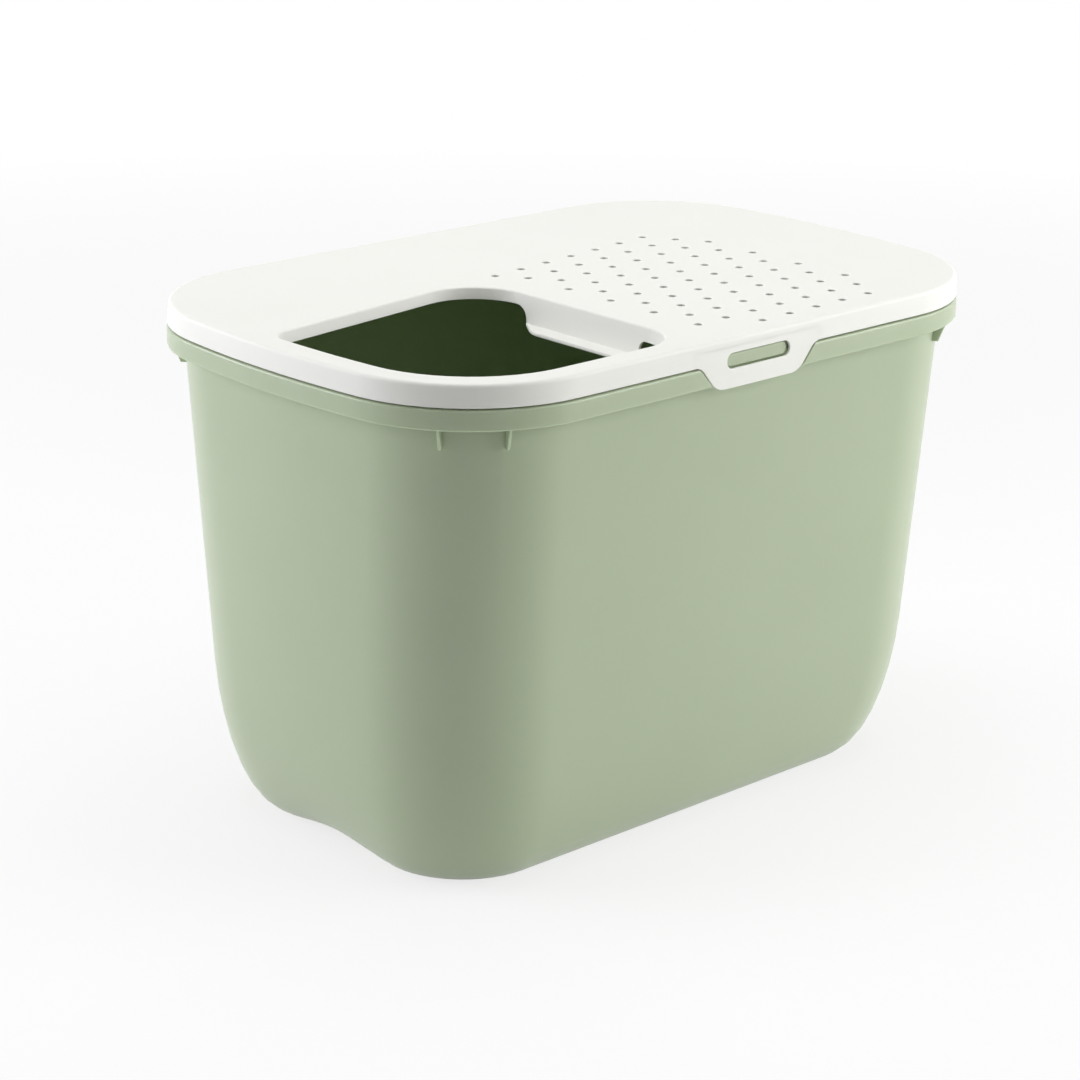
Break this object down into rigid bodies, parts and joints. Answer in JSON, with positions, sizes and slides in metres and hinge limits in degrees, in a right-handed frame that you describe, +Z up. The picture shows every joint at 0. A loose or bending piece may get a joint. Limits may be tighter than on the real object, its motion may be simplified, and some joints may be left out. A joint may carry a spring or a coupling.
{
  "type": "top entry litter box",
  "caption": "Deep rounded tub with a hand-grip rim and a flat lift-off lid that has a recessed entry, a shelf with a scoop slot, rows of vent holes and snap latches on its long sides.",
  "frame": {"origin": "on the floor, under the middle of the rim's footprint", "axes": "+X along the length, away from the entry; +Z up; the front long side, with the latch in view, faces -Y"},
  "size_m": [0.585, 0.39, 0.3925],
  "materials": {
    "tub": "satin moulded polypropylene, sage green",
    "lid": "satin moulded polypropylene, white"
  },
  "bodies": {
    "tub": {"tub": "tub"},
    "lid": {"lid": "lid"},
    "front_latch": {"front_latch": "lid"},
    "rear_latch": {"rear_latch": "lid"}
  },
  "joints": [
    {"name": "lid_lift", "type": "slide", "parent": "tub", "child": "lid", "axis": [0, 0, 1], "range_m": [0, 0.15]},
    {"name": "front_latch_flex", "type": "hinge", "parent": "lid", "child": "front_latch", "pos_m": [0, -0.19396, 0.386], "axis": [-1, 0, 0], "range_deg": [0, 8], "stiffness_Nm_per_rad": 6},
    {"name": "rear_latch_flex", "type": "hinge", "parent": "lid", "child": "rear_latch", "pos_m": [0, 0.19396, 0.386], "axis": [1, 0, 0], "range_deg": [0, 8], "stiffness_Nm_per_rad": 6}
  ]
}
